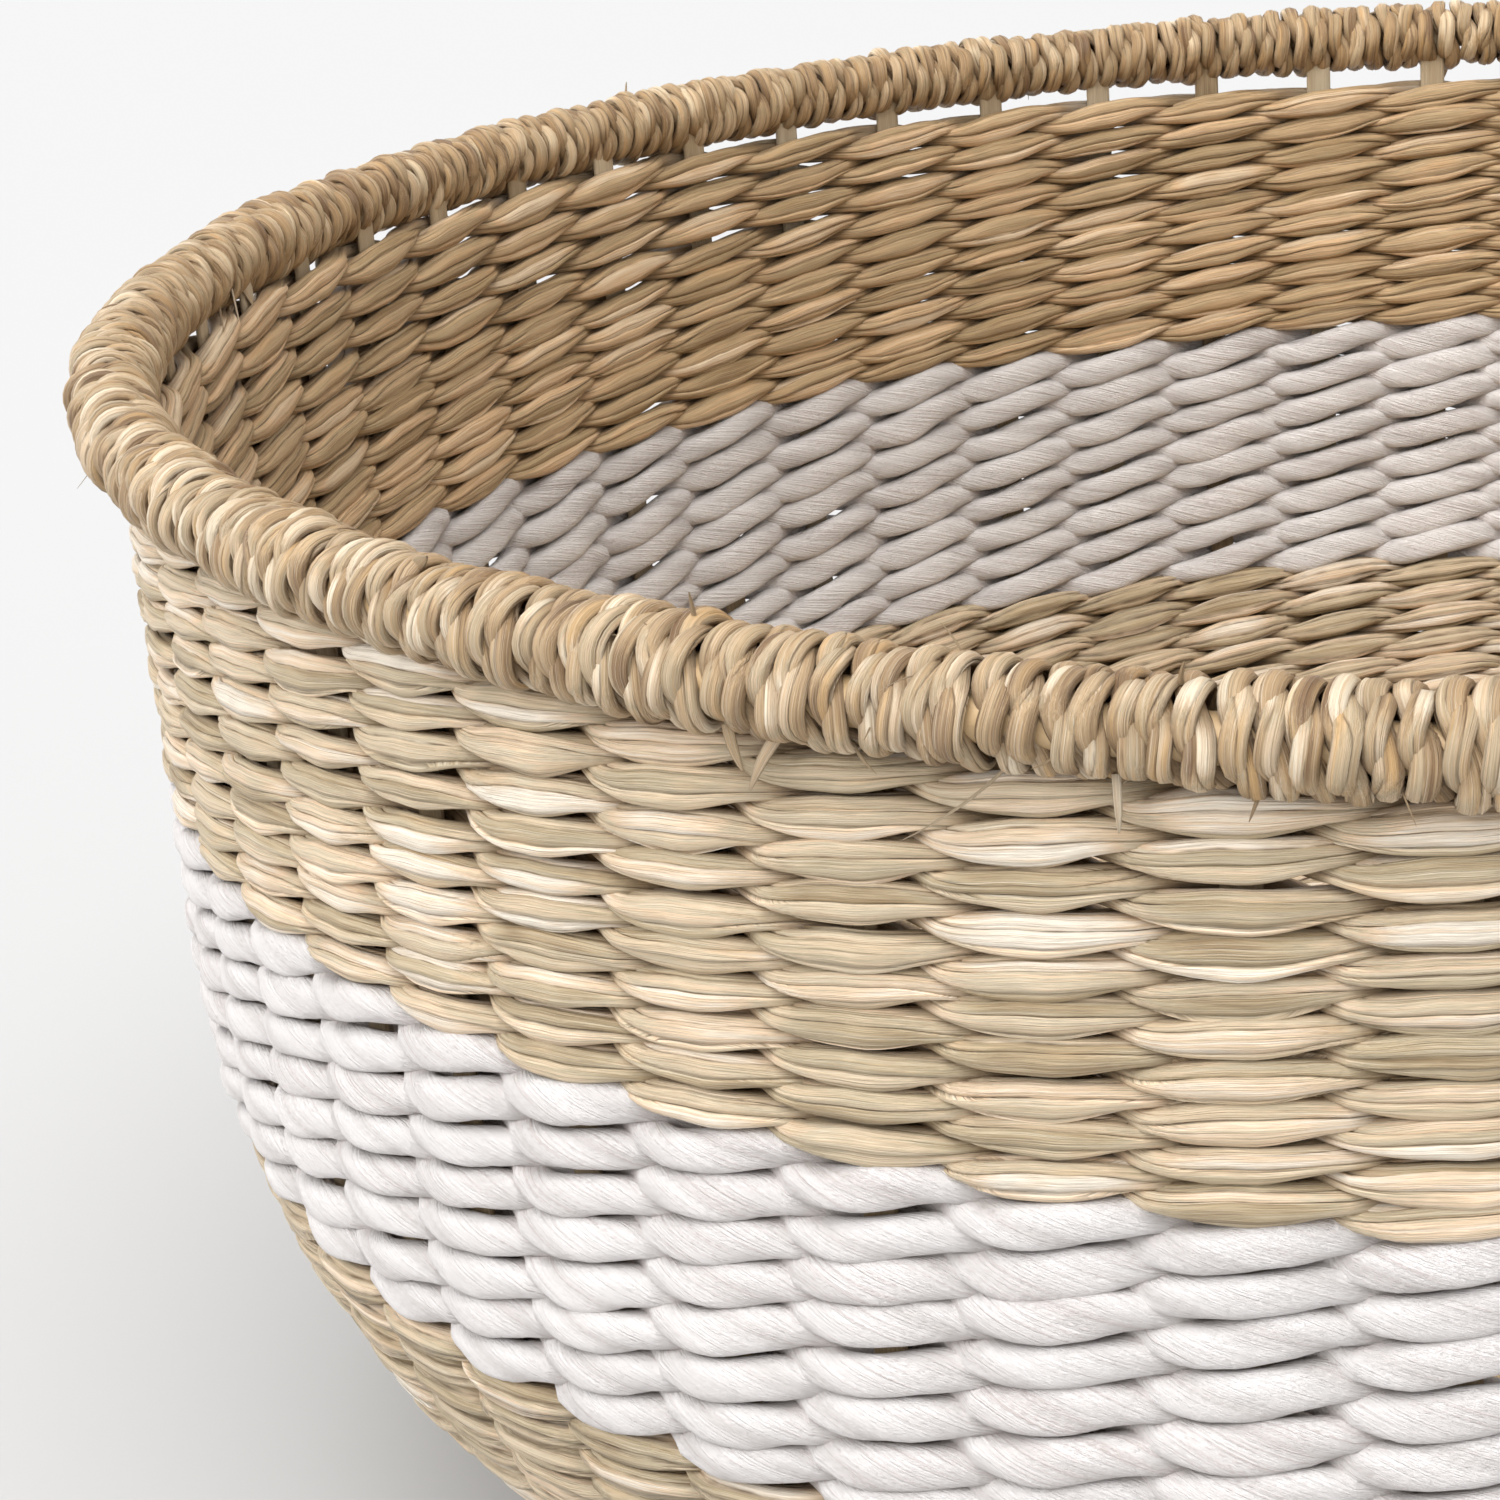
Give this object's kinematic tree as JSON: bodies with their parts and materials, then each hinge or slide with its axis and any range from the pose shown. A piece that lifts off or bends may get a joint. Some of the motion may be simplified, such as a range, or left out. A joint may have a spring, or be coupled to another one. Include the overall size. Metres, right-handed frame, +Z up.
{
  "type": "woven market basket",
  "caption": "Wide round bowl-shaped market basket of twined natural grass cord with a white cord band and a thick wrapped rim.",
  "frame": {"origin": "centre of the underside, on the surface that the basket stands on", "axes": "+Z up, through the middle of the mouth; the basket is round, so X and Y are alike"},
  "size_m": [0.5366, 0.5365, 0.221],
  "materials": {
    "seagrass_cord": "twisted dry grass blades, matte with a faint waxy sheen",
    "rim_cord": "two-ply twisted dry grass cord, matte",
    "paper_cord": "matte white twisted paper cord with fine fibre lines",
    "split_cane": "pale split cane, satin",
    "cane_hoop": "plain round cane"
  },
  "bodies": {
    "root": {"rim_hoop": "cane_hoop", "rim_wrap": "rim_cord", "side_stakes": "split_cane", "base_sticks_lower": "split_cane", "base_sticks_upper": "split_cane", "upper_row_01": "seagrass_cord", "upper_row_02": "seagrass_cord", "upper_row_03": "seagrass_cord", "upper_row_04": "seagrass_cord", "upper_row_05": "seagrass_cord", "upper_row_06": "seagrass_cord", "upper_row_07": "seagrass_cord", "upper_row_08": "seagrass_cord", "upper_row_09": "seagrass_cord", "upper_row_10": "seagrass_cord", "white_row_01": "paper_cord", "white_row_02": "paper_cord", "white_row_03": "paper_cord", "white_row_04": "paper_cord", "white_row_05": "paper_cord", "white_row_06": "paper_cord", "white_row_07": "paper_cord", "white_row_08": "paper_cord", "lower_row_01": "seagrass_cord", "lower_row_02": "seagrass_cord", "lower_row_03": "seagrass_cord", "lower_row_04": "seagrass_cord", "lower_row_05": "seagrass_cord", "lower_row_06": "seagrass_cord", "lower_row_07": "seagrass_cord", "lower_row_08": "seagrass_cord", "lower_row_09": "seagrass_cord", "lower_row_10": "seagrass_cord", "lower_row_11": "seagrass_cord", "lower_row_12": "seagrass_cord", "lower_row_13": "seagrass_cord", "lower_row_14": "seagrass_cord", "lower_row_15": "seagrass_cord", "lower_row_16": "seagrass_cord", "lower_row_17": "seagrass_cord", "lower_row_18": "seagrass_cord", "lower_row_19": "seagrass_cord", "lower_row_20": "seagrass_cord", "lower_row_21": "seagrass_cord", "lower_row_22": "seagrass_cord", "lower_row_23": "seagrass_cord", "lower_row_24": "seagrass_cord", "base_row_01": "seagrass_cord", "base_row_02": "seagrass_cord", "base_row_03": "seagrass_cord", "base_row_04": "seagrass_cord", "base_row_05": "seagrass_cord", "base_row_06": "seagrass_cord", "base_row_07": "seagrass_cord", "base_row_08": "seagrass_cord", "base_row_09": "seagrass_cord", "base_row_10": "seagrass_cord", "base_row_11": "seagrass_cord", "base_row_12": "seagrass_cord"}
  },
  "joints": []
}
